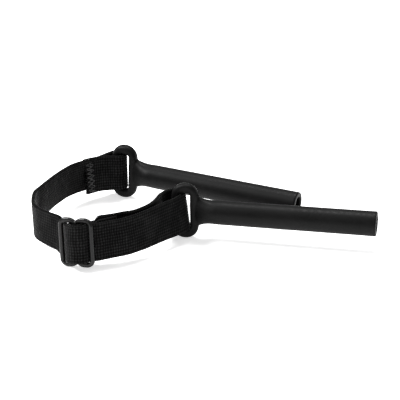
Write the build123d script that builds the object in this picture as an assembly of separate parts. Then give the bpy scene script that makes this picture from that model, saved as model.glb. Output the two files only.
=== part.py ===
from build123d import *
import math
import os

# An eyeglass retainer strap: two soft sleeves that push onto the temple tips, each with a moulded
# ring, joined by a woven elastic strap that a figure-eight slider shortens.
# Millimetres. +Z is up, the rings stand on Z = 0, and +X points along the mean of the two sleeves.

# Elastic strap
STRAP_WIDTH = 15.0
STRAP_THICK = 1.5

# Temple sleeves
SLOT_WIDTH = 4.0
SLOT_HEIGHT = 15.45
BAR_WIDTH = 3.4             # ring bar, along the sleeve
RING_DEPTH = 3.8            # ring, across the sleeve
RING_HEIGHT = 23.0
RING_CORNER = 5.3
RING_ROUND = 1.5
SLOT_ROUND = 1.2
SLEEVE_LENGTH = 75.6        # slot's middle to the mouth
NECK_END = 13.0
NECK_RADIUS = 4.8
MOUTH_RADIUS = 4.95
MOUTH_ROUND = 0.5
NECK_SECTIONS = [           # distance from the slot's middle, half height, half thickness
    (2.35, 8.6, 1.25),
    (5.4, 6.2, 2.6),
    (8.2, 5.05, 4.0),
    (NECK_END, NECK_RADIUS, NECK_RADIUS),
]
BORE_RADIUS = 3.0
BORE_DEPTH = 61.0
SLEEVE_SPLAY = 5.95         # each sleeve turns in towards the other by this angle
FRONT_SLOT = (-8.6, 3.95)
REAR_SLOT = (-43.75, 34.4)
FRONT_RISE = 0.3            # degrees that the front sleeve's mouth points up
REAR_RISE = -1.6
BAR_OFFSET = (SLOT_WIDTH + BAR_WIDTH) / 2
SLOT_CORNER = 1.0

# Figure-eight slider
SLIDER_AT = (-40.5, -33.8, 10.2)
SLIDER_YAW = -6.4
SLIDER_ROLL = 6.3           # its front end is the higher one
SLIDER_LEAN = 8.0           # its top leans into the loop
BAR_SPACING = 6.35
WIRE = 1.8
SLIDER_SLOT_HEIGHT = 15.4
END_BAR_HEIGHT = 2.0
WIRE_ROUND = 0.75
OUTER_CORNER = 3.2
NOTCH_CORNER = 3.7
NOTCH_ROOT = 0.6
SLIDER_SLOT_CORNER = 0.8

# Stitching
THREAD = 0.36
THREAD_GAP = 0.1
STITCHES = 12
STITCHED_WIDTH = 13.6
TACK_LENGTH = 2.4           # along the strap
THREAD_SHARE = 0.88         # of each slanted stitch that the thread fills

MID_HEIGHT = RING_HEIGHT / 2
PLAN_MIDDLE = (0.262, -0.362)  # moved to the origin when the parts are written


def unit(heading):
    """The plan direction of a heading in degrees."""
    return Vector(math.cos(math.radians(heading)), math.sin(math.radians(heading)), 0)


def arc(start, heading, end):
    """The arc from start, tangent to heading, to end, as (start, heading, length, turn)."""
    chord = end - start
    along = unit(heading)
    turn = 2 * math.atan2(along.X * chord.Y - along.Y * chord.X, along.dot(chord))
    straight = abs(turn) < 1e-6
    length = chord.length if straight else chord.length * (turn / 2) / math.sin(turn / 2)
    return start, heading, length, math.degrees(turn)


def biarc(first, last):
    """Two tangent arcs from one station to the next. A station is (x, y, heading)."""
    p0, p1 = Vector(*first[:2]), Vector(*last[:2])
    t0, t1 = unit(first[2]), unit(last[2])
    gap = p1 - p0
    a = 2 * (1 - t0.dot(t1))
    b = 2 * gap.dot(t0 + t1)
    c = -gap.dot(gap)
    reach = -c / b if abs(a) < 1e-9 else (math.sqrt(b * b - 4 * a * c) - b) / (2 * a)
    middle = (p0 + t0 * reach + p1 - t1 * reach) * 0.5
    opening = arc(p0, first[2], middle)
    closing = arc(middle, first[2] + opening[3], p1)
    return [opening, closing]


def point_on(piece, share, side):
    """A point a share of the way along an arc, moved to its left by side."""
    start, heading, length, turn = piece
    part = math.radians(turn * share)
    run = length * share
    chord = run if abs(part) < 1e-9 else run * math.sin(part / 2) / (part / 2)
    at = start + unit(heading + turn * share / 2) * chord
    return at + unit(heading + turn * share + 90) * side


def edge(piece, side, backwards=False):
    shares = (1, 0.5, 0) if backwards else (0, 0.5, 1)
    a, b, c = (point_on(piece, share, side) for share in shares)
    return Line(a, c) if abs(piece[3]) < 0.05 else ThreePointArc(a, b, c)


def ribbon(route):
    """A strap run on edge, its middle line following the route's stations, centred on Z = 0."""
    pieces = [p for pair in zip(route, route[1:]) for p in biarc(*pair)]
    half = STRAP_THICK / 2
    outline = [edge(p, half) for p in pieces]
    outline.append(Line(point_on(pieces[-1], 1, half), point_on(pieces[-1], 1, -half)))
    outline += [edge(p, -half, backwards=True) for p in reversed(pieces)]
    outline.append(Line(point_on(pieces[0], 0, -half), point_on(pieces[0], 0, half)))
    print(f"strap piece of {sum(p[2] for p in pieces):.1f} mm")
    return Pos(0, 0, -STRAP_WIDTH / 2) * extrude(make_face(outline), STRAP_WIDTH, dir=(0, 0, 1))


def round_circle(centre, radius, heading):
    """The station on a circle where a run round it, anticlockwise, has that heading."""
    at = centre + unit(heading - 90) * radius
    return at.X, at.Y, heading


# ---- Rings' strap bars, and the circles that the strap's folds follow round them ----
FRONT_AIM = SLEEVE_SPLAY
REAR_AIM = -SLEEVE_SPLAY
front_bar = Vector(*FRONT_SLOT) - unit(FRONT_AIM) * BAR_OFFSET
rear_bar = Vector(*REAR_SLOT) - unit(REAR_AIM) * BAR_OFFSET
FRONT_FOLD_RADIUS = 4.0
REAR_FOLD_RADIUS = 3.25
FRONT_FOLD_SHIFT = (0.35, -0.7)  # fold's middle from the bar: along the sleeve, then to its left
REAR_FOLD_SHIFT = 0.4
front_fold_at = front_bar + unit(FRONT_AIM) * FRONT_FOLD_SHIFT[0]
front_fold_at += unit(FRONT_AIM + 90) * FRONT_FOLD_SHIFT[1]
rear_fold_at = rear_bar + unit(REAR_AIM) * REAR_FOLD_SHIFT


def front_fold(heading):
    return round_circle(front_fold_at, FRONT_FOLD_RADIUS, FRONT_AIM + heading)


def rear_fold(heading):
    return round_circle(rear_fold_at, REAR_FOLD_RADIUS, REAR_AIM + heading)


def by_slider(along, inwards, heading):
    """A plan station given along the slider, into the loop from it, and by a heading from its length."""
    at = Vector(*SLIDER_AT[:2]) + unit(SLIDER_YAW) * along + unit(SLIDER_YAW + 90) * inwards
    return at.X, at.Y, SLIDER_YAW + heading


# ---- The strap's route, from its rear tail's cut end to its front tail's cut end ----
# A station is (x, y, heading). Those in the slider's own frame are along it and into the loop.
TAIL_REAR = [(-57.1, 23.8, 54), (-55.2, 26.2, 48), (-51.4, 29.6, 27), rear_fold(14)]
FOLD_REAR = [rear_fold(14), rear_fold(95), rear_fold(180)]
RUN_REAR = [
    rear_fold(180),
    (-50.15, 36.75, 226),
    (-56.6, 27.4, 232),
    (-61.3, 20.3, 243),
    (-63.8, 11.7, 258),
]
BEND = [(-63.8, 11.7, 258), (-65.4, -2.9, 268), (-65.2, -13.2, 287), (-58.6, -24.9, 326)]
RUN_FRONT = [(-58.6, -24.9, 326), (-53.4, -27.7, 334), by_slider(-8.4, 3.0, -27)]
THROUGH = [
    (-6.6, 2.55, -37),
    (-5.7, 2.1, -43),
    (-4.4, 0.1, -68),
    (-2.6, -2.95, -34),
    (0, -3.8, -2),
    (2.6, -3.4, 22),
    (4.5, -0.6, 84),
    (5.85, 1.9, 10),
    (7.3, 2.35, 33),
]
RUN_OUTER = [
    by_slider(9.0, 3.55, 48),
    (-29.4, -29.8, 38.5),
    (-23.3, -24.7, 47.5),
    (-18.8, -18.6, 57.5),
    (-13.9, -10.4, 61.5),
    front_fold(60.5),
]
FOLD_FRONT = [front_fold(60.5), front_fold(120), front_fold(180)]
RUN_INNER = [
    front_fold(180),
    (-15.9, 4.6, 231.5),
    (-17.2, 1.0, 258.5),
    (-17.3, -3.5, 271.5),
    (-17.5, -9.0, 260.5),
    (-19.4, -15.0, 241.5),
    (-22.1, -19.1, 229),
    (-26.4, -22.6, 222),
    (-29.9, -25.75, 218),
    by_slider(6.7, 6.5, 230),
]
END_FOLD = [
    (4.9, 5.75, 224),
    (2.2, 3.75, 208),
    (0, 1.95, 180),
    (-1.95, 0, 270),
    (0, -1.95, 0),
    (2.7, 0.6, 82),
    (4.55, 3.05, 35),
    (6.3, 3.75, 22),
]
TAIL_FRONT = [by_slider(7.8, 4.9, 48), (-30.5, -28.4, 38.5), (-26.9, -25.3, 42)]
REAR_TACK = (-56.3, 24.8, 52)
FRONT_TACK = (-28.6, -24.6, 221)


# ---- Sleeves ----
def temple_sleeve():
    """One sleeve along +X, its slot's middle at the origin: ring, neck and blind tube in one moulding."""
    outline = RectangleRounded(SLOT_WIDTH + 2 * BAR_WIDTH, RING_HEIGHT, RING_CORNER)
    ring = extrude(Plane.XZ * outline, RING_DEPTH / 2, both=True)
    ring = fillet(faces_edges(ring, RING_DEPTH / 2), RING_ROUND)
    neck = loft([
        Plane((x, 0, 0), x_dir=(0, 1, 0), z_dir=(1, 0, 0)) * Ellipse(thick, tall)
        for x, tall, thick in NECK_SECTIONS
    ])
    side = make_face(Polyline(
        (NECK_END, 0), (NECK_END, NECK_RADIUS), (SLEEVE_LENGTH, MOUTH_RADIUS), (SLEEVE_LENGTH, 0),
        close=True))
    tube = revolve(side, Axis.X)
    tube = fillet(tube.edges().sort_by(Axis.X)[-1], MOUTH_ROUND)
    slot = extrude(Plane.XZ * RectangleRounded(SLOT_WIDTH, SLOT_HEIGHT, SLOT_CORNER), RING_DEPTH, both=True)
    bore = Plane((SLEEVE_LENGTH - BORE_DEPTH, 0, 0), z_dir=(1, 0, 0)) * Cylinder(
        BORE_RADIUS, BORE_DEPTH, align=(Align.CENTER, Align.CENTER, Align.MIN))
    body = ring + neck + tube - slot
    rims = body.edges().filter_by(lambda e: on_slot_rim(e))
    return fillet(rims, SLOT_ROUND) - bore


def faces_edges(solid, depth):
    """The edges of an upright plate's two faces."""
    return [e for f in solid.faces() for e in f.edges()
            if f.geom_type == GeomType.PLANE and abs(abs(f.center().Y) - depth) < 0.01]


def on_slot_rim(e):
    at = e.center()
    return (abs(abs(at.Y) - RING_DEPTH / 2) < 0.02 and abs(at.X) < SLOT_WIDTH / 2 + 0.05
            and abs(at.Z) < SLOT_HEIGHT / 2 + 0.05)


def placed_sleeve(slot, aim, rise):
    return Pos(slot[0], slot[1], MID_HEIGHT) * Rot(0, 0, aim) * Rot(0, -rise, 0) * temple_sleeve()


# ---- Slider ----
slider_frame = Pos(*SLIDER_AT) * Rot(0, 0, SLIDER_YAW)
slider_frame *= Rot(-SLIDER_LEAN, 0, 0) * Rot(0, -SLIDER_ROLL, 0)


def figure_eight():
    """Two loops side by side that share a middle bar, with a notch between them at top and bottom."""
    height = SLIDER_SLOT_HEIGHT + 2 * END_BAR_HEIGHT
    blank = Sketch()
    slots = Sketch()
    for side in (-1, 1):
        loop = Pos(side * BAR_SPACING / 2, 0) * Rectangle(BAR_SPACING + WIRE, height)
        loop = fillet(loop.vertices().filter_by(lambda v: v.X * side > BAR_SPACING), OUTER_CORNER)
        loop = fillet(loop.vertices().filter_by(lambda v: v.X * side < 0), NOTCH_CORNER)
        blank += loop
        slots += Pos(side * BAR_SPACING / 2, 0) * RectangleRounded(
            BAR_SPACING - WIRE, SLIDER_SLOT_HEIGHT, SLIDER_SLOT_CORNER)
    notches = blank.vertices().filter_by(lambda v: abs(v.X) < 0.01)
    eight = fillet(notches, NOTCH_ROOT) - slots
    solid = extrude(Plane.XZ * eight, WIRE / 2, both=True)
    return fillet(faces_edges(solid, WIRE / 2), WIRE_ROUND)


# ---- Stitching ----
def bar_tack(station, side):
    """A zigzag of thread across the strap's width, on its left face or, for side -1, its right one."""
    x, y, heading = station
    along, out = unit(heading), unit(heading + 90) * side
    face = Vector(x, y, MID_HEIGHT) + out * (STRAP_THICK / 2 + THREAD_GAP + THREAD / 2)
    rise = STITCHED_WIDTH / STITCHES
    threads = []
    for i in range(STITCHES):
        middle = face + Vector(0, 0, (i + 0.5) * rise - STITCHED_WIDTH / 2)
        run = along * (TACK_LENGTH * (-1) ** i) + Vector(0, 0, rise)
        threads.append(Plane(middle, z_dir=run) * Cylinder(THREAD / 2, run.length * THREAD_SHARE))
    return Compound(children=threads)


UPRIGHT = Pos(0, 0, MID_HEIGHT)
nodes = {
    "rear_sleeve": placed_sleeve(REAR_SLOT, -SLEEVE_SPLAY, REAR_RISE),
    "front_sleeve": placed_sleeve(FRONT_SLOT, SLEEVE_SPLAY, FRONT_RISE),
    "slider": slider_frame * figure_eight(),
    "strap_rear_tail": UPRIGHT * ribbon(TAIL_REAR),
    "strap_rear_fold": UPRIGHT * ribbon(FOLD_REAR),
    "strap_rear_run": UPRIGHT * ribbon(RUN_REAR),
    "strap_bend": UPRIGHT * ribbon(BEND),
    "strap_front_run": UPRIGHT * ribbon(RUN_FRONT),
    "strap_through_slider": slider_frame * ribbon(THROUGH),
    "strap_outer_run": UPRIGHT * ribbon(RUN_OUTER),
    "strap_front_fold": UPRIGHT * ribbon(FOLD_FRONT),
    "strap_inner_run": UPRIGHT * ribbon(RUN_INNER),
    "strap_end_fold": slider_frame * ribbon(END_FOLD),
    "strap_front_tail": UPRIGHT * ribbon(TAIL_FRONT),
    "rear_stitching": bar_tack(REAR_TACK, -1),
    "front_stitching": bar_tack(FRONT_TACK, -1),
}

os.makedirs("parts", exist_ok=True)
centred = Pos(-PLAN_MIDDLE[0], -PLAN_MIDDLE[1], 0)
for name, shape in nodes.items():
    export_step(centred * shape, f"parts/{name}.step")

whole = Compound(children=list(nodes.values())).bounding_box()
middle = Vector(*PLAN_MIDDLE)
print("box", whole.min - middle, whole.max - middle)
print("front bar", front_bar - middle, "rear bar", rear_bar - middle)
print("slider", Vector(*SLIDER_AT) - middle, "lowest", nodes["slider"].bounding_box().min.Z)
for slot, aim in ((FRONT_SLOT, FRONT_AIM), (REAR_SLOT, REAR_AIM)):
    print("mouth", Vector(*slot) + unit(aim) * SLEEVE_LENGTH - middle, "aim", aim)
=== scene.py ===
import math

import bpy
import numpy as np
from mathutils import Matrix, Vector


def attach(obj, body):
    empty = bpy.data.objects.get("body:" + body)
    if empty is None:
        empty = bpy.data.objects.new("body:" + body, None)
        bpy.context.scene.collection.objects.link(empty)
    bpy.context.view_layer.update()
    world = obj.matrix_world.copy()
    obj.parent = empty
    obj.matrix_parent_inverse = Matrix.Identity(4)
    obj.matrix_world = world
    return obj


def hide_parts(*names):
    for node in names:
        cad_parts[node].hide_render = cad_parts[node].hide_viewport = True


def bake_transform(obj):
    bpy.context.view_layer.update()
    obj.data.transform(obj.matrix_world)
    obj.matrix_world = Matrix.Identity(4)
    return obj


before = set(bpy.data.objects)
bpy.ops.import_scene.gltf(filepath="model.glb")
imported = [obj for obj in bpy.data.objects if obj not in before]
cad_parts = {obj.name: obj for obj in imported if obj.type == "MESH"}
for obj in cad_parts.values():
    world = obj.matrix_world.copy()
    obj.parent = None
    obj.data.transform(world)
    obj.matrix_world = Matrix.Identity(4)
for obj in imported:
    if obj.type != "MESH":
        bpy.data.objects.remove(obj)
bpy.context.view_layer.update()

MM = 0.001

# ---------------------------------------------------------------- measures, as in the part's source
STRAP_WIDTH = 15.0
STRAP_THICK = 1.5
SLEEVE_SPLAY = 5.95
BAR_OFFSET = 3.7
FRONT_SLOT = (-8.6, 3.95)
REAR_SLOT = (-43.75, 34.4)
MID_HEIGHT = 11.5
PLAN_MIDDLE = (0.262, -0.362)
SLIDER_AT = (-40.5, -33.8, 10.2)
SLIDER_YAW = -6.4
SLIDER_ROLL = 6.3
SLIDER_LEAN = 8.0

# The cloth's fold round the rear ring's bar, which is a little slacker than the solid's
REAR_FOLD_RADIUS = 3.3
REAR_FOLD_SHIFT = 0.5


def unit(heading):
    return np.array([math.cos(math.radians(heading)), math.sin(math.radians(heading))])


def arc(start, heading, end):
    """The arc from start, tangent to heading, to end, as (start, heading, length, turn)."""
    chord = end - start
    along = unit(heading)
    turn = 2 * math.atan2(along[0] * chord[1] - along[1] * chord[0], along @ chord)
    reach = float(np.hypot(*chord))
    length = reach if abs(turn) < 1e-6 else reach * (turn / 2) / math.sin(turn / 2)
    return start, heading, length, math.degrees(turn)


def biarc(first, last):
    """Two arcs that join two stations, each station being (x, y, heading)."""
    p0, p1 = np.array(first[:2]), np.array(last[:2])
    t0, t1 = unit(first[2]), unit(last[2])
    gap = p1 - p0
    a = 2 * (1 - t0 @ t1)
    b = 2 * gap @ (t0 + t1)
    c = -gap @ gap
    reach = -c / b if abs(a) < 1e-9 else (math.sqrt(b * b - 4 * a * c) - b) / (2 * a)
    middle = (p0 + t0 * reach + p1 - t1 * reach) * 0.5
    opening = arc(p0, first[2], middle)
    return [opening, arc(middle, first[2] + opening[3], p1)]


def plan_line(route, step=0.1):
    """Dense (x, y, heading) samples along a route of stations."""
    out = []
    for pair in zip(route, route[1:]):
        for start, heading, length, turn in biarc(*pair):
            count = max(2, int(abs(length) / step))
            for i in range(count):
                share = i / count
                part = math.radians(turn * share)
                run = length * share
                chord = run if abs(part) < 1e-9 else run * math.sin(part / 2) / (part / 2)
                at = start + unit(heading + turn * share / 2) * chord
                out.append((at[0], at[1], heading + turn * share))
    out.append(tuple(route[-1]))
    return np.array(out)


front_bar = np.array(FRONT_SLOT) - unit(SLEEVE_SPLAY) * BAR_OFFSET
rear_bar = np.array(REAR_SLOT) - unit(-SLEEVE_SPLAY) * BAR_OFFSET
rear_fold_at = rear_bar + unit(-SLEEVE_SPLAY) * REAR_FOLD_SHIFT


def round_circle(centre, radius, heading):
    """The station with a given heading on a circle that is travelled anticlockwise."""
    at = centre + unit(heading - 90) * radius
    return at[0], at[1], heading


def by_front_bar(along, inwards, heading):
    """A station in the front ring's own frame, from the middle of its bar."""
    at = front_bar + unit(SLEEVE_SPLAY) * along + unit(SLEEVE_SPLAY + 90) * inwards
    return at[0], at[1], SLEEVE_SPLAY + heading


def rear_fold(heading):
    return round_circle(rear_fold_at, REAR_FOLD_RADIUS, -SLEEVE_SPLAY + heading)


def by_slider(along, inwards, heading):
    """A station in the slider's own frame, seen in plan."""
    at = np.array(SLIDER_AT[:2]) + unit(SLIDER_YAW) * along + unit(SLIDER_YAW + 90) * inwards
    return at[0], at[1], SLIDER_YAW + heading


# ---------------------------------------------------------------- the strap's route, in millimetres
TAIL_REAR = [(-57.1, 23.8, 54), (-55.2, 26.2, 48), (-51.4, 29.6, 27), rear_fold(14)]
FOLD_REAR = [rear_fold(14), rear_fold(95), rear_fold(180)]
RUN_REAR = [
    rear_fold(180),
    (-50.15, 36.75, 226),
    (-56.6, 27.4, 232),
    (-61.3, 20.3, 243),
    (-63.8, 11.7, 258),
]
BEND = [(-63.8, 11.7, 258), (-65.4, -2.9, 268), (-65.2, -13.2, 287), (-58.6, -24.9, 326)]
RUN_FRONT = [(-58.6, -24.9, 326), (-53.4, -27.7, 334), by_slider(-8.4, 3.0, -27)]
THROUGH_START = [(-6.6, 2.65, -36), (-6.2, 2.37, -37)]
THROUGH = [
    (-6.2, 2.37, -37),
    (-5.7, 2.1, -43),
    (-4.4, 0.1, -66),
    (-3.4, -1.6, -50),
    (-1.5, -3.2, -26),
    (1.0, -3.85, 4),
    (3.0, -3.2, 32),
    (4.5, -0.6, 84),
    (5.85, 1.9, 10),
    (7.3, 2.35, 33),
]
RUN_OUTER = [
    by_slider(9.0, 3.55, 48),
    (-29.4, -29.8, 38.5),
    (-23.3, -24.7, 47.5),
    (-18.8, -18.6, 57.5),
    (-14.2, -10.2, 62.5),
    by_front_bar(3.5, -2.4, 70),
]
FOLD_FRONT = [by_front_bar(3.5, -2.4, 70), by_front_bar(3.95, 0.2, 92), by_front_bar(0.1, 3.35, 180)]
RUN_INNER = [
    by_front_bar(0.1, 3.35, 180),
    (-15.9, 4.6, 231.5),
    (-17.2, 1.0, 258.5),
    (-17.3, -3.5, 271.5),
    (-17.5, -9.0, 260.5),
    (-19.4, -15.0, 241.5),
    (-22.1, -19.1, 229),
    (-26.4, -22.6, 222),
    (-29.9, -25.75, 218),
    by_slider(6.7, 6.5, 230),
]
END_FOLD = [
    (4.9, 5.75, 224),
    (2.2, 3.75, 208),
    (-0.8, 2.15, 180),
    (-2.9, 0.1, 270),
    (-0.6, -2.1, 0),
    (2.7, 0.2, 82),
    (4.55, 3.05, 35),
    (6.3, 3.75, 22),
]
TAIL_FRONT = [by_slider(7.8, 4.9, 48), (-30.5, -28.4, 38.5), (-26.9, -25.3, 42)]

# Lean of the strap's top towards the left of travel: (share of the run, degrees, lift in mm)
REAR_LEAN = [(0, 8, 0), (0.06, 6, 0), (0.15, 0, 0), (0.22, 2, 0), (0.3, 13, 0), (0.42, 12, 0),
             (0.6, 8, 0), (0.75, 0, 0), (0.9, -5, -0.1), (0.985, -1, -0.4), (1, 3, -0.9)]
OUTER_LEAN = [(0, 9, -0.6), (0.6, 9, 0), (1, 13, 0)]
FOLD_LEAN = [(0, 13, 0), (1, 0, 0)]
INNER_LEAN = [(0, 0, 0), (0.25, -2, 0.2), (0.5, -5, 0.6), (1, -8, 0.6)]
TAIL_LEAN = [(0, 8, -0.2), (1, 8, 0.1)]


def rotation(axis, degrees):
    return np.array(Matrix.Rotation(math.radians(degrees), 3, axis))


SLIDER_TURN = rotation("Z", SLIDER_YAW) @ rotation("X", -SLIDER_LEAN) @ rotation("Y", -SLIDER_ROLL)


def upright(route, lean, share=(0, 1)):
    """Points and up directions, with headings, along a plan route whose strap leans."""
    line = plan_line(route)
    keys = np.array(lean, float)
    s = share[0] + (share[1] - share[0]) * np.linspace(0, 1, len(line))
    tilt = np.radians(np.interp(s, keys[:, 0], keys[:, 1]))
    lift = np.interp(s, keys[:, 0], keys[:, 2])
    left = np.radians(line[:, 2] + 90)
    up = np.stack([np.cos(left) * np.sin(tilt), np.sin(left) * np.sin(tilt), np.cos(tilt)], 1)
    at = np.stack([line[:, 0], line[:, 1], MID_HEIGHT + lift], 1)
    return at, up


def in_slider(route, lift=-0.06):
    """The same for a route in the slider's own frame, where the cloth rides up against the slots' tops."""
    line = plan_line(route)
    flat = np.stack([line[:, 0], line[:, 1], np.full(len(line), lift)], 1)
    at = flat @ SLIDER_TURN.T + np.array(SLIDER_AT)
    return at, np.repeat(SLIDER_TURN[:, 2][None], len(at), 0)


def bridge(a, b, step=0.1):
    """A smooth curve from the end of one stretch to the start of the next."""
    p, q = a[0][-1], b[0][0]
    reach = np.linalg.norm(q - p)
    if reach < 0.05:
        return None
    tp, tq = a[0][-1] - a[0][-2], b[0][1] - b[0][0]
    tp, tq = tp / np.linalg.norm(tp) * reach, tq / np.linalg.norm(tq) * reach
    t = np.linspace(0, 1, max(3, int(reach / step)))[1:-1, None]
    at = ((2 * t**3 - 3 * t**2 + 1) * p + (t**3 - 2 * t**2 + t) * tp
          + (3 * t**2 - 2 * t**3) * q + (t**3 - t**2) * tq)
    up = a[1][-1] * (1 - t) + b[1][0] * t
    return at, up


def soften(values, sigma):
    """Gaussian smoothing along the first axis, by samples, that keeps the two ends."""
    reach = int(3 * sigma)
    kernel = np.exp(-0.5 * (np.arange(-reach, reach + 1) / sigma) ** 2)
    kernel /= kernel.sum()
    head = 2 * values[0] - values[1:reach + 1][::-1]
    tail = 2 * values[-1] - values[-reach - 1:-1][::-1]
    padded = np.concatenate([head, values, tail])
    return np.stack([np.convolve(padded[:, k], kernel, "valid") for k in range(values.shape[1])], 1)


FINE_STEP = 0.1         # mm between the samples that are smoothed
AT_SMOOTHING = 4        # samples
UP_SMOOTHING = 15       # samples


class Line:
    """The middle line of one continuous stretch of strap, sampled evenly."""

    def __init__(self, stretches, step=0.25):
        at, up = [stretches[0][0]], [stretches[0][1]]
        for a, b in zip(stretches, stretches[1:]):
            joined = bridge(a, b)
            if joined:
                at.append(joined[0])
                up.append(joined[1])
            at.append(b[0])
            up.append(b[1])
        at, up = np.concatenate(at), np.concatenate(up)
        keep = np.r_[True, np.linalg.norm(np.diff(at, axis=0), axis=1) > 1e-4]
        at, up = at[keep], up[keep]
        at -= np.array([PLAN_MIDDLE[0], PLAN_MIDDLE[1], 0])
        run = np.r_[0, np.cumsum(np.linalg.norm(np.diff(at, axis=0), axis=1))]
        even = np.arange(0, run[-1], FINE_STEP)
        at = np.stack([np.interp(even, run, at[:, k]) for k in range(3)], 1)
        up = np.stack([np.interp(even, run, up[:, k]) for k in range(3)], 1)
        at, up = soften(at, AT_SMOOTHING), soften(up, UP_SMOOTHING)
        run = np.r_[0, np.cumsum(np.linalg.norm(np.diff(at, axis=0), axis=1))]
        self.length = run[-1]
        self.run = np.linspace(0, self.length, int(self.length / step) + 1)
        self.at = np.stack([np.interp(self.run, run, at[:, k]) for k in range(3)], 1)
        self.up = np.stack([np.interp(self.run, run, up[:, k]) for k in range(3)], 1)
        self._axes()

    def _axes(self):
        along = np.gradient(self.at, axis=0)
        self.along = along / np.linalg.norm(along, axis=1)[:, None]
        self.out = np.cross(self.up, self.along)
        self.out /= np.linalg.norm(self.out, axis=1)[:, None]
        self.up /= np.linalg.norm(self.up, axis=1)[:, None]

    def cut(self, first, last):
        """The same line between two distances along it."""
        i = int(np.argmin(np.abs(self.run - first)))
        j = int(np.argmin(np.abs(self.run - last))) + 1
        part = object.__new__(Line)
        for key in ("run", "at", "up", "along", "out"):
            setattr(part, key, getattr(self, key)[i:j])
        part.length = part.run[-1] - part.run[0]
        return part

    def place(self, run, across, off):
        """The point at a distance along, across the width, and off the middle to the left."""
        values = [np.array([np.interp(run, self.run, v[:, k]) for k in range(3)])
                  for v in (self.at, self.up, self.out)]
        return (values[0] + values[1] * across + values[2] * off) * MM


# ---------------------------------------------------------------- materials
def material(name, **constants):
    m = bpy.data.materials.new(name)
    m.use_nodes = True
    shader = m.node_tree.nodes["Principled BSDF"]
    for key, value in constants.items():
        shader.inputs[key.replace("_", " ").title()].default_value = value
    return m, m.node_tree, shader


def ramp(tree, source, stops):
    r = tree.nodes.new("ShaderNodeValToRGB")
    for i, (place, value) in enumerate(stops):
        if i >= 2:
            r.color_ramp.elements.new(place)
        r.color_ramp.elements[i].position = place
        r.color_ramp.elements[i].color = (value, value, value, 1)
    tree.links.new(source, r.inputs["Fac"])
    return r.outputs["Color"]


def math_node(tree, operation, a, b=None):
    n = tree.nodes.new("ShaderNodeMath")
    n.operation = operation
    for i, v in enumerate((a, b)):
        if v is None:
            continue
        if isinstance(v, (int, float)):
            n.inputs[i].default_value = v
        else:
            tree.links.new(v, n.inputs[i])
    return n.outputs[0]


def bump(tree, height, strength, distance, onto, previous=None):
    b = tree.nodes.new("ShaderNodeBump")
    b.inputs["Strength"].default_value = strength
    b.inputs["Distance"].default_value = distance
    tree.links.new(height, b.inputs["Height"])
    if previous is not None:
        tree.links.new(previous, b.inputs["Normal"])
    if onto is not None:
        tree.links.new(b.outputs["Normal"], onto)
    return b.outputs["Normal"]


def noise(tree, vector, scale, detail=3.0, rough=0.5):
    n = tree.nodes.new("ShaderNodeTexNoise")
    n.inputs["Scale"].default_value = scale
    n.inputs["Detail"].default_value = detail
    n.inputs["Roughness"].default_value = rough
    tree.links.new(vector, n.inputs["Vector"])
    return n.outputs["Fac"]


RIB = 1.15      # mm between lengthwise ribs
WEFT = 1.0      # mm between cross threads


def webbing_material():
    """Knitted elastic: lengthwise ribs crossed by fine weft, with a dry, slightly fuzzy face."""
    m, tree, shader = material("webbing_black", roughness=0.9, sheen_weight=0.3, sheen_roughness=0.2)
    shader.inputs["Specular IOR Level"].default_value = 0.05
    uv = tree.nodes.new("ShaderNodeUVMap")
    uv.uv_map = "weave"
    split = tree.nodes.new("ShaderNodeSeparateXYZ")
    tree.links.new(uv.outputs[0], split.inputs[0])
    along, across = split.outputs[0], split.outputs[1]
    turn = 2 * math.pi
    ribs = math_node(tree, "COSINE", math_node(tree, "MULTIPLY", across, turn / RIB))
    coord = tree.nodes.new("ShaderNodeTexCoord").outputs["Object"]
    stray = math_node(tree, "MULTIPLY", noise(tree, coord, 330, 2), 7.0)
    weft = math_node(tree, "COSINE", math_node(
        tree, "ADD", math_node(tree, "MULTIPLY", along, turn / WEFT), stray))
    woven = math_node(tree, "ADD", math_node(tree, "MULTIPLY", ribs, 0.42),
                      math_node(tree, "MULTIPLY", weft, 0.4))
    fibre = noise(tree, coord, 2600, 4)
    patch = noise(tree, coord, 260, 3)
    height = math_node(tree, "ADD", woven, math_node(tree, "MULTIPLY", fibre, 0.8))
    bump(tree, height, 0.75, 0.00012, shader.inputs["Normal"])
    # The colour follows the relief: ribs, weft threads and fibres are coloured lighter where they stand
    # high and darker in the grooves between them, which is painted shade; the patch noise adds random
    # tone.
    shade_and_patch_tone = math_node(tree, "ADD", math_node(tree, "MULTIPLY", woven, 0.34),
                     math_node(tree, "ADD", math_node(tree, "MULTIPLY", fibre, 0.5),
                               math_node(tree, "MULTIPLY", patch, 0.5)))
    colour = ramp(tree, shade_and_patch_tone, [(0.2, 0.0004), (0.45, 0.0032), (0.62, 0.009), (0.85, 0.02)])
    tree.links.new(colour, shader.inputs["Base Color"])
    return m


def thread_material():
    m, tree, shader = material("thread_black", roughness=0.62, sheen_weight=0.2)
    coord = tree.nodes.new("ShaderNodeTexCoord").outputs["Object"]
    twist = noise(tree, coord, 3500, 2)
    bump(tree, twist, 0.5, 0.00005, shader.inputs["Normal"])
    tree.links.new(ramp(tree, twist, [(0.3, 0.01), (0.7, 0.035)]), shader.inputs["Base Color"])
    return m


def silicone_material():
    """Moulded satin silicone with a faint orange-peel and dust-dulled patches."""
    m, tree, shader = material("silicone_black", roughness=0.5)
    shader.inputs["Specular IOR Level"].default_value = 0.09
    coord = tree.nodes.new("ShaderNodeTexCoord").outputs["Object"]
    peel = noise(tree, coord, 900, 3)
    wide = noise(tree, coord, 70, 3)
    grain = noise(tree, coord, 5200, 2)
    first = bump(tree, wide, 0.12, 0.0008, None)
    second = bump(tree, peel, 0.10, 0.0001, None, first)
    bump(tree, grain, 0.2, 0.00003, shader.inputs["Normal"], second)
    tree.links.new(ramp(tree, wide, [(0.3, 0.0028), (0.7, 0.0045)]), shader.inputs["Base Color"])
    tree.links.new(ramp(tree, peel, [(0.3, 0.42), (0.7, 0.54)]), shader.inputs["Roughness"])
    return m


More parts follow.
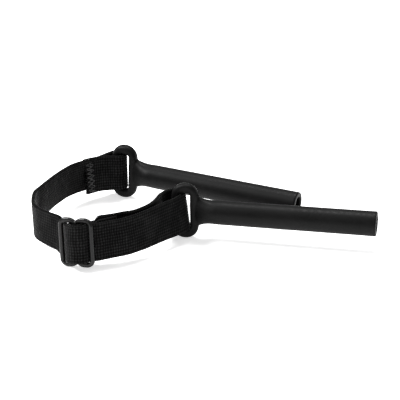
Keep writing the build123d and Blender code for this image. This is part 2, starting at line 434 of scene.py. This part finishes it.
def coated_metal_material():
    """Glossy black coating on a small casting: slight waviness and worn, duller patches."""
    m, tree, shader = material("coated_metal_black", roughness=0.3, coat_weight=0.12, coat_roughness=0.1)
    shader.inputs["Specular IOR Level"].default_value = 0.14
    coord = tree.nodes.new("ShaderNodeTexCoord").outputs["Object"]
    wave = noise(tree, coord, 420, 2)
    speck = noise(tree, coord, 3000, 3)
    first = bump(tree, wave, 0.16, 0.0003, None)
    bump(tree, speck, 0.1, 0.00004, shader.inputs["Normal"], first)
    tree.links.new(ramp(tree, wave, [(0.3, 0.004), (0.7, 0.008)]), shader.inputs["Base Color"])
    tree.links.new(ramp(tree, speck, [(0.3, 0.2), (0.75, 0.36)]), shader.inputs["Roughness"])
    return m


webbing = webbing_material()
thread = thread_material()
silicone = silicone_material()
coated = coated_metal_material()


# ---------------------------------------------------------------- mesh helpers
def mesh_object(name, verts, faces, mat, smooth=True):
    mesh = bpy.data.meshes.new(name)
    mesh.from_pydata([tuple(v) for v in verts], [], faces)
    mesh.materials.append(mat)
    mesh.polygons.foreach_set("use_smooth", [smooth] * len(mesh.polygons))
    mesh.update()
    o = bpy.data.objects.new(name, mesh)
    bpy.context.scene.collection.objects.link(o)
    return o


FACE_POINTS = 59        # across each face of the strap
EDGE_POINTS = 4         # round each of its edges
EDGE_ROUND = 0.35       # how far in from its width the edge starts to round off


def profile():
    """The strap's cross-section as (across, off the middle) points, all the way round."""
    half, thick = STRAP_WIDTH / 2, STRAP_THICK / 2
    across = np.linspace(-half + EDGE_ROUND, half - EDGE_ROUND, FACE_POINTS)
    face = [(a, thick) for a in across]
    turn = np.radians(np.linspace(60, -60, EDGE_POINTS))
    edge = [(half - EDGE_ROUND + EDGE_ROUND * math.cos(t), thick * math.sin(t)) for t in turn]
    back = [(a, -thick) for a in across[::-1]]
    return np.array(face + edge + back + [(-a, -h) for a, h in edge])


PROFILE = profile()
AROUND = len(PROFILE)

RIB_RELIEF = 0.06
WEFT_RELIEF = 0.02
RIBS_STOP, RIBS_FADE = 0.55, 0.4        # in from the strap's edge, and over what width
CORD_RELIEF, CORD_IN, CORD_WIDTH = 0.07, 0.45, 0.3      # the selvedge's cord
WANDER_IN = 0.6         # how far in the edge's slow wander reaches
NICK, NICK_IN = 0.03, 0.35      # dents between the weft's turns at the selvedge
NICK_PITCH = 0.9
FRAY = (-0.35, 0.25)    # at a cut end, threads pass the end by the first and fall short by the second


def strap_rows(line):
    """The cross-section at each sample along a line, with relief, and its weave coordinates."""
    across, off = PROFILE[:, 0], PROFILE[:, 1]
    half = STRAP_WIDTH / 2
    inner = np.clip((half - RIBS_STOP - np.abs(across)) / RIBS_FADE, 0, 1)
    ribs = np.cos(2 * np.pi * across / RIB) * RIB_RELIEF * inner
    cord = CORD_RELIEF * np.exp(-((np.abs(across) - half + CORD_IN) / CORD_WIDTH) ** 2)
    margin = np.clip((np.abs(across) - half + WANDER_IN) / WANDER_IN, 0, 1)
    brink = np.clip((np.abs(across) - half + NICK_IN) / NICK_IN, 0, 1)
    side = np.sign(off)
    rows, uvs = [], []
    for k, s in enumerate(line.run):
        weft = math.cos(2 * math.pi * s / WEFT) * WEFT_RELIEF * inner
        wander = 0.03 * math.sin(s * 0.83) + 0.02 * math.sin(s * 2.1 + 1)
        edge = margin * np.sign(across) * wander
        nick = brink * NICK * np.cos(2 * np.pi * s / NICK_PITCH)
        o = off + side * (ribs + cord + weft)
        a = across + edge + nick * np.sign(across)
        rows.append(line.at[k] + line.up[k] * a[:, None] + line.out[k] * o[:, None])
        uvs.append(np.stack([np.full(AROUND, s), across], 1))
    return rows, uvs


def strap_caps(count):
    """Faces that close the strip's two cut ends."""
    caps = []
    opposite = 2 * FACE_POINTS + EDGE_POINTS - 1
    for base, turned in ((0, False), ((count - 1) * AROUND, True)):
        for i in range(FACE_POINTS - 1):
            a, b = base + i, base + i + 1
            c, d = base + opposite - i - 1, base + opposite - i
            caps.append((d, c, b, a) if turned else (a, b, c, d))
        right = [base + FACE_POINTS - 1 + i for i in range(EDGE_POINTS + 2)]
        left = [base + (opposite + i) % AROUND for i in range(EDGE_POINTS + 2)]
        for loop in (right, left):
            caps.append(tuple(reversed(loop)) if turned else tuple(loop))
    return caps


def sharpen_ends(mesh, count):
    """Marks the rims of the strip's two cut ends as sharp."""
    sharp = mesh.attributes.get("sharp_edge") or mesh.attributes.new("sharp_edge", "BOOLEAN", "EDGE")
    pairs = np.empty(len(mesh.edges) * 2, np.int32)
    mesh.edges.foreach_get("vertices", pairs)
    ring = pairs.reshape(-1, 2) // AROUND
    end = (ring[:, 0] == ring[:, 1]) & ((ring[:, 0] == 0) | (ring[:, 0] == count - 1))
    sharp.data.foreach_set("value", end)


def strap_strip(name, line, loose_start=False, loose_end=False):
    """A woven strip along a line. Its ribs, cross threads and selvedge cords are real relief."""
    rows, uvs = strap_rows(line)
    count = len(rows)
    if loose_start or loose_end:
        rng = np.random.default_rng(3)
        ragged = rng.uniform(*FRAY, AROUND) + 0.15 * np.sin(PROFILE[:, 0] * 3)
        if loose_start:
            rows[0] = rows[0] + line.along[0] * ragged[:, None]
        if loose_end:
            rows[-1] = rows[-1] - line.along[-1] * ragged[:, None]
    faces = []
    for k in range(count - 1):
        base = k * AROUND
        for i in range(AROUND):
            j = (i + 1) % AROUND
            faces.append((base + i, base + AROUND + i, base + AROUND + j, base + j))
    piece = mesh_object(name, np.concatenate(rows) * MM, faces + strap_caps(count), webbing)
    mesh = piece.data
    flags = np.ones(len(mesh.polygons), bool)
    flags[len(faces):] = False
    mesh.polygons.foreach_set("use_smooth", flags)
    sharpen_ends(mesh, count)
    table = np.concatenate(uvs)
    loops = np.empty(len(mesh.loops), np.int32)
    mesh.loops.foreach_get("vertex_index", loops)
    layer = mesh.uv_layers.new(name="weave")
    layer.data.foreach_set("uv", table[loops].astype(np.float32).ravel())
    return piece


def thread_piece(name, runs, radius, mat):
    """Sewing thread through lists of points, as one mesh."""
    data = bpy.data.curves.new(name + "_line", "CURVE")
    data.dimensions = "3D"
    data.bevel_depth = radius
    data.bevel_resolution = 3
    data.use_fill_caps = True
    for points in runs:
        spline = data.splines.new("NURBS")
        spline.points.add(len(points) - 1)
        for p, q in zip(spline.points, points):
            p.co = (*q, 1)
        spline.order_u = 3
        spline.use_endpoint_u = True
        spline.resolution_u = 3
    holder = bpy.data.objects.new(name + "_line", data)
    bpy.context.scene.collection.objects.link(holder)
    bpy.context.view_layer.update()
    mesh = bpy.data.meshes.new_from_object(holder.evaluated_get(bpy.context.evaluated_depsgraph_get()))
    bpy.data.objects.remove(holder)
    mesh.name = name
    mesh.materials.clear()
    mesh.materials.append(mat)
    mesh.polygons.foreach_set("use_smooth", [True] * len(mesh.polygons))
    piece = bpy.data.objects.new(name, mesh)
    bpy.context.scene.collection.objects.link(piece)
    return piece


# ---------------------------------------------------------------- the strap
def length_of(route):
    """How long a plan route is, as its arcs' lengths added up."""
    return sum(p[2] for pair in zip(route, route[1:]) for p in biarc(*pair))


rear_parts = [TAIL_REAR, FOLD_REAR, RUN_REAR, BEND, RUN_FRONT]
rear_runs = [length_of(r) for r in rear_parts]
marks = np.r_[0, np.cumsum(rear_runs)]
rear_line = Line([upright(r, REAR_LEAN, (a / marks[-1], b / marks[-1]))
                  for r, a, b in zip(rear_parts, marks, marks[1:])] + [in_slider(THROUGH_START)])
SEAM_BEFORE_BEND_END = 9.0
bend_end = marks[4]
seam = bend_end - SEAM_BEFORE_BEND_END
back_line = rear_line.cut(0, seam)
lead_line = rear_line.cut(seam, rear_line.length)
outer_line = Line([in_slider(THROUGH), upright(RUN_OUTER, OUTER_LEAN), upright(FOLD_FRONT, FOLD_LEAN)])
inner_line = Line([upright(RUN_INNER, INNER_LEAN), in_slider(END_FOLD), upright(TAIL_FRONT, TAIL_LEAN)])

strap_back = strap_strip("strap_back", back_line, loose_start=True)
strap_lead = strap_strip("strap_lead", lead_line)
strap_outer = strap_strip("strap_outer", outer_line)
strap_inner = strap_strip("strap_inner", inner_line, loose_end=True)

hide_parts("strap_rear_tail", "strap_rear_fold", "strap_rear_run", "strap_bend")
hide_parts("strap_front_run")
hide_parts("strap_through_slider", "strap_outer_run", "strap_front_fold")
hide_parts("strap_inner_run", "strap_end_fold", "strap_front_tail")


def plan(x, y):
    """A point of the route's plan, in the frame, at the strap's middle height."""
    return (x - PLAN_MIDDLE[0]) * MM, (y - PLAN_MIDDLE[1]) * MM, MID_HEIGHT * MM


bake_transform(strap_back)
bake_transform(strap_lead)
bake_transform(strap_outer)
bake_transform(strap_inner)


# ---------------------------------------------------------------- stitching
THREAD_RADIUS = 0.14 * MM
TACK_OFF = -(STRAP_THICK / 2 + 0.16)    # on the loop's inside
NEEDLE_DIP = 0.86       # share of that at the needle holes, where the thread sinks in


def tack(line, middle, off, rows, reach, width=13.4):
    """A dense zigzag across the strap, its middle at a distance along the line."""
    rise = width / rows
    points = []
    for i in range(rows + 1):
        across = i * rise - width / 2
        along = middle + reach * (-1) ** i
        dip = line.place(along, across, off * NEEDLE_DIP)
        points += [dip, line.place(middle, across + rise / 2, off)] if i < rows else [dip]
    return points


def thread_tail(line, run, across, off, away):
    """A short cut end of thread that curls up off the cloth."""
    points = []
    for t in (0, 0.35, 0.7, 1):
        bend = 0.5 * math.sin(t * 3)
        points.append(line.place(run + away[0] * t, across + away[1] * t, off + away[2] * t + bend * 0.4))
    return points


rear_threads = [
    tack(back_line, 1.6, TACK_OFF, rows=15, reach=1.5),
    tack(back_line, 2.6, TACK_OFF, rows=12, reach=1.3),
    thread_tail(back_line, 0.3, 6.9, TACK_OFF, away=(-1.2, 1.3, -0.5)),
    thread_tail(back_line, 1.6, 6.9, TACK_OFF, away=(0.9, 1.2, -0.4)),
    thread_tail(back_line, 0.6, -6.9, TACK_OFF, away=(-0.9, -0.9, -0.4)),
]
rear_stitches = thread_piece("rear_stitches", rear_threads, THREAD_RADIUS, thread)
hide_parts("rear_stitching")
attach(rear_stitches, "rear_strap")

FRONT_TACK = (-28.6, -24.6)     # on the plan, beside the slider
tack_at = np.array(FRONT_TACK) - np.array(PLAN_MIDDLE)
nearest = int(np.argmin(np.hypot(*(inner_line.at[:, :2] - tack_at).T)))
tack_run = inner_line.run[nearest]
front_threads = [
    tack(inner_line, tack_run, TACK_OFF, rows=22, reach=1.15),
    tack(inner_line, tack_run + 0.8, TACK_OFF, rows=17, reach=0.8),
]
front_stitches = thread_piece("front_stitches", front_threads, THREAD_RADIUS, thread)
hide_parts("front_stitching")
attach(front_stitches, "slider")


# ---------------------------------------------------------------- sleeves
SLEEVE_VOXEL = 0.3 * MM
SMOOTHING_ROUNDS = 24


def relax(mesh, rounds, shrink=0.55, grow=-0.56):
    """Smooths a mesh without shrinking it, by steps that pull in and push out in turn."""
    count = len(mesh.vertices)
    co = np.empty(count * 3)
    mesh.vertices.foreach_get("co", co)
    co = co.reshape(-1, 3)
    ends = np.empty(len(mesh.edges) * 2, np.int32)
    mesh.edges.foreach_get("vertices", ends)
    a, b = ends.reshape(-1, 2).T
    degree = np.bincount(a, minlength=count) + np.bincount(b, minlength=count)
    for k in range(rounds * 2):
        total = np.stack([np.bincount(a, co[b, i], count) + np.bincount(b, co[a, i], count)
                          for i in range(3)], 1)
        co = co + (total / degree[:, None] - co) * (grow if k % 2 else shrink)
    mesh.vertices.foreach_set("co", co.ravel())
    mesh.update()


def smooth_sleeve(name, node_name, body):
    """The moulded sleeve: the CAD solid with its ring, neck and tube flowing into one another."""
    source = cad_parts[node_name]
    piece = bpy.data.objects.new(name, source.data.copy())
    piece.matrix_world = source.matrix_world
    bpy.context.scene.collection.objects.link(piece)
    remesh = piece.modifiers.new("remesh", "REMESH")
    remesh.mode = "VOXEL"
    remesh.voxel_size = SLEEVE_VOXEL
    bpy.context.view_layer.update()
    deps = bpy.context.evaluated_depsgraph_get()
    mesh = bpy.data.meshes.new_from_object(piece.evaluated_get(deps))
    piece.modifiers.clear()
    piece.data = mesh
    relax(mesh, SMOOTHING_ROUNDS)
    mesh.materials.clear()
    mesh.materials.append(silicone)
    mesh.polygons.foreach_set("use_smooth", [True] * len(mesh.polygons))
    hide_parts(node_name)
    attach(piece, body)


smooth_sleeve("front_sleeve_skin", "front_sleeve", "front_sleeve")
smooth_sleeve("rear_sleeve_skin", "rear_sleeve", "rear_sleeve")

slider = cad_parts["slider"]
slider.data.materials.clear()
slider.data.materials.append(coated)


# ---------------------------------------------------------------- floor, light and camera
FLOOR_HALF = 3.0        # metres


def floor():
    """A plain white floor that also glows a little, so that it shows as pale as the background."""
    m, tree, shader = material("floor_white", roughness=0.9)
    shader.inputs["Base Color"].default_value = (0.93, 0.93, 0.93, 1)
    shader.inputs["Specular IOR Level"].default_value = 0.1
    shader.inputs["Emission Color"].default_value = (1, 1, 1, 1)
    shader.inputs["Emission Strength"].default_value = 0.62
    corners = [(x * FLOOR_HALF, y * FLOOR_HALF, 0) for x, y in ((-1, -1), (1, -1), (1, 1), (-1, 1))]
    o = mesh_object("floor", corners, [(0, 1, 2, 3)], m, smooth=False)


floor()


def area_light(name, at, aim, size, power):
    """A round soft light, with its size in metres and its power in watts."""
    data = bpy.data.lights.new(name, "AREA")
    data.shape = "DISK"
    data.size = size
    data.energy = power
    o = bpy.data.objects.new(name, data)
    bpy.context.scene.collection.objects.link(o)
    o.location = at
    o.rotation_euler = (Vector(aim) - Vector(at)).to_track_quat("-Z", "Y").to_euler()


area_light("key", at=(-0.6, -0.14, 0.62), aim=(-0.02, 0, 0), size=0.34, power=13)
area_light("top", at=(-0.05, 0.3, 0.85), aim=(0, 0, 0), size=0.35, power=6)

world = bpy.data.worlds.new("studio")
world.use_nodes = True
world.node_tree.nodes["Background"].inputs[0].default_value = (1, 1, 1, 1)
world.node_tree.nodes["Background"].inputs[1].default_value = 0.36
bpy.context.scene.world = world
bpy.context.scene.view_settings.view_transform = "Standard"

AZIMUTH, ELEVATION, DISTANCE = 16.55, 24.0, 0.830
LENS, SENSOR = 187.9, 36
target = Vector(plan(-5.85, 15.0))
a, e = math.radians(AZIMUTH), math.radians(ELEVATION)
back = Vector((math.sin(a) * math.cos(e), -math.cos(a) * math.cos(e), math.sin(e)))
camera = bpy.data.cameras.new("camera")
camera.lens = LENS
camera.sensor_width = SENSOR
camera.clip_start = 0.01
eye = bpy.data.objects.new("camera", camera)
bpy.context.scene.collection.objects.link(eye)
eye.location = target + back * DISTANCE
eye.rotation_euler = (-back).to_track_quat("-Z", "Y").to_euler()
bpy.context.scene.camera = eye
